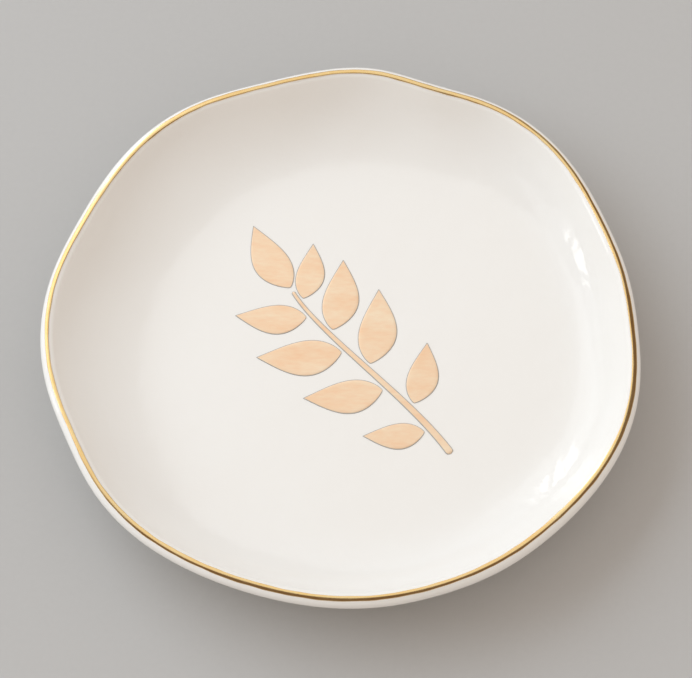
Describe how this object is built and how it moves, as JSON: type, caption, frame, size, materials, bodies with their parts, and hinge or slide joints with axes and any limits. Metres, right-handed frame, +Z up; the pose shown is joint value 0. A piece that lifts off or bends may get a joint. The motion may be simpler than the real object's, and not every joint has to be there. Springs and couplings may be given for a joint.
{
  "type": "ring dish",
  "caption": "Shallow round ring dish with a wavy full-round rim, glossy white glaze, a gold line on the lip and a gold leaf sprig on its floor.",
  "frame": {"origin": "on the surface that the dish stands on, under the middle of the dish's rim and of its bounding box; the foot ring's middle lies 3.5 mm from it towards +X", "axes": "+Z up out of the dish, +X to the right and +Y away for someone who looks at the sprig with its cut end at lower right"},
  "size_m": [0.1099, 0.1103, 0.0146],
  "materials": {
    "clay": "bare fired stoneware, matt and fine grained",
    "glaze": "glossy warm white glaze",
    "rim_gold": "bright fired gold, brushed on by hand",
    "leaf_gold": "satin peach gold film"
  },
  "bodies": {
    "root": {"clay_body": "clay", "glaze_coat": "glaze", "base_glaze": "glaze", "rim_line": "rim_gold", "sprig_stem": "leaf_gold", "leaf_1": "leaf_gold", "leaf_2": "leaf_gold", "leaf_3": "leaf_gold", "leaf_4": "leaf_gold", "leaf_5": "leaf_gold", "leaf_6": "leaf_gold", "leaf_7": "leaf_gold", "leaf_8": "leaf_gold", "leaf_9": "leaf_gold"}
  },
  "joints": []
}
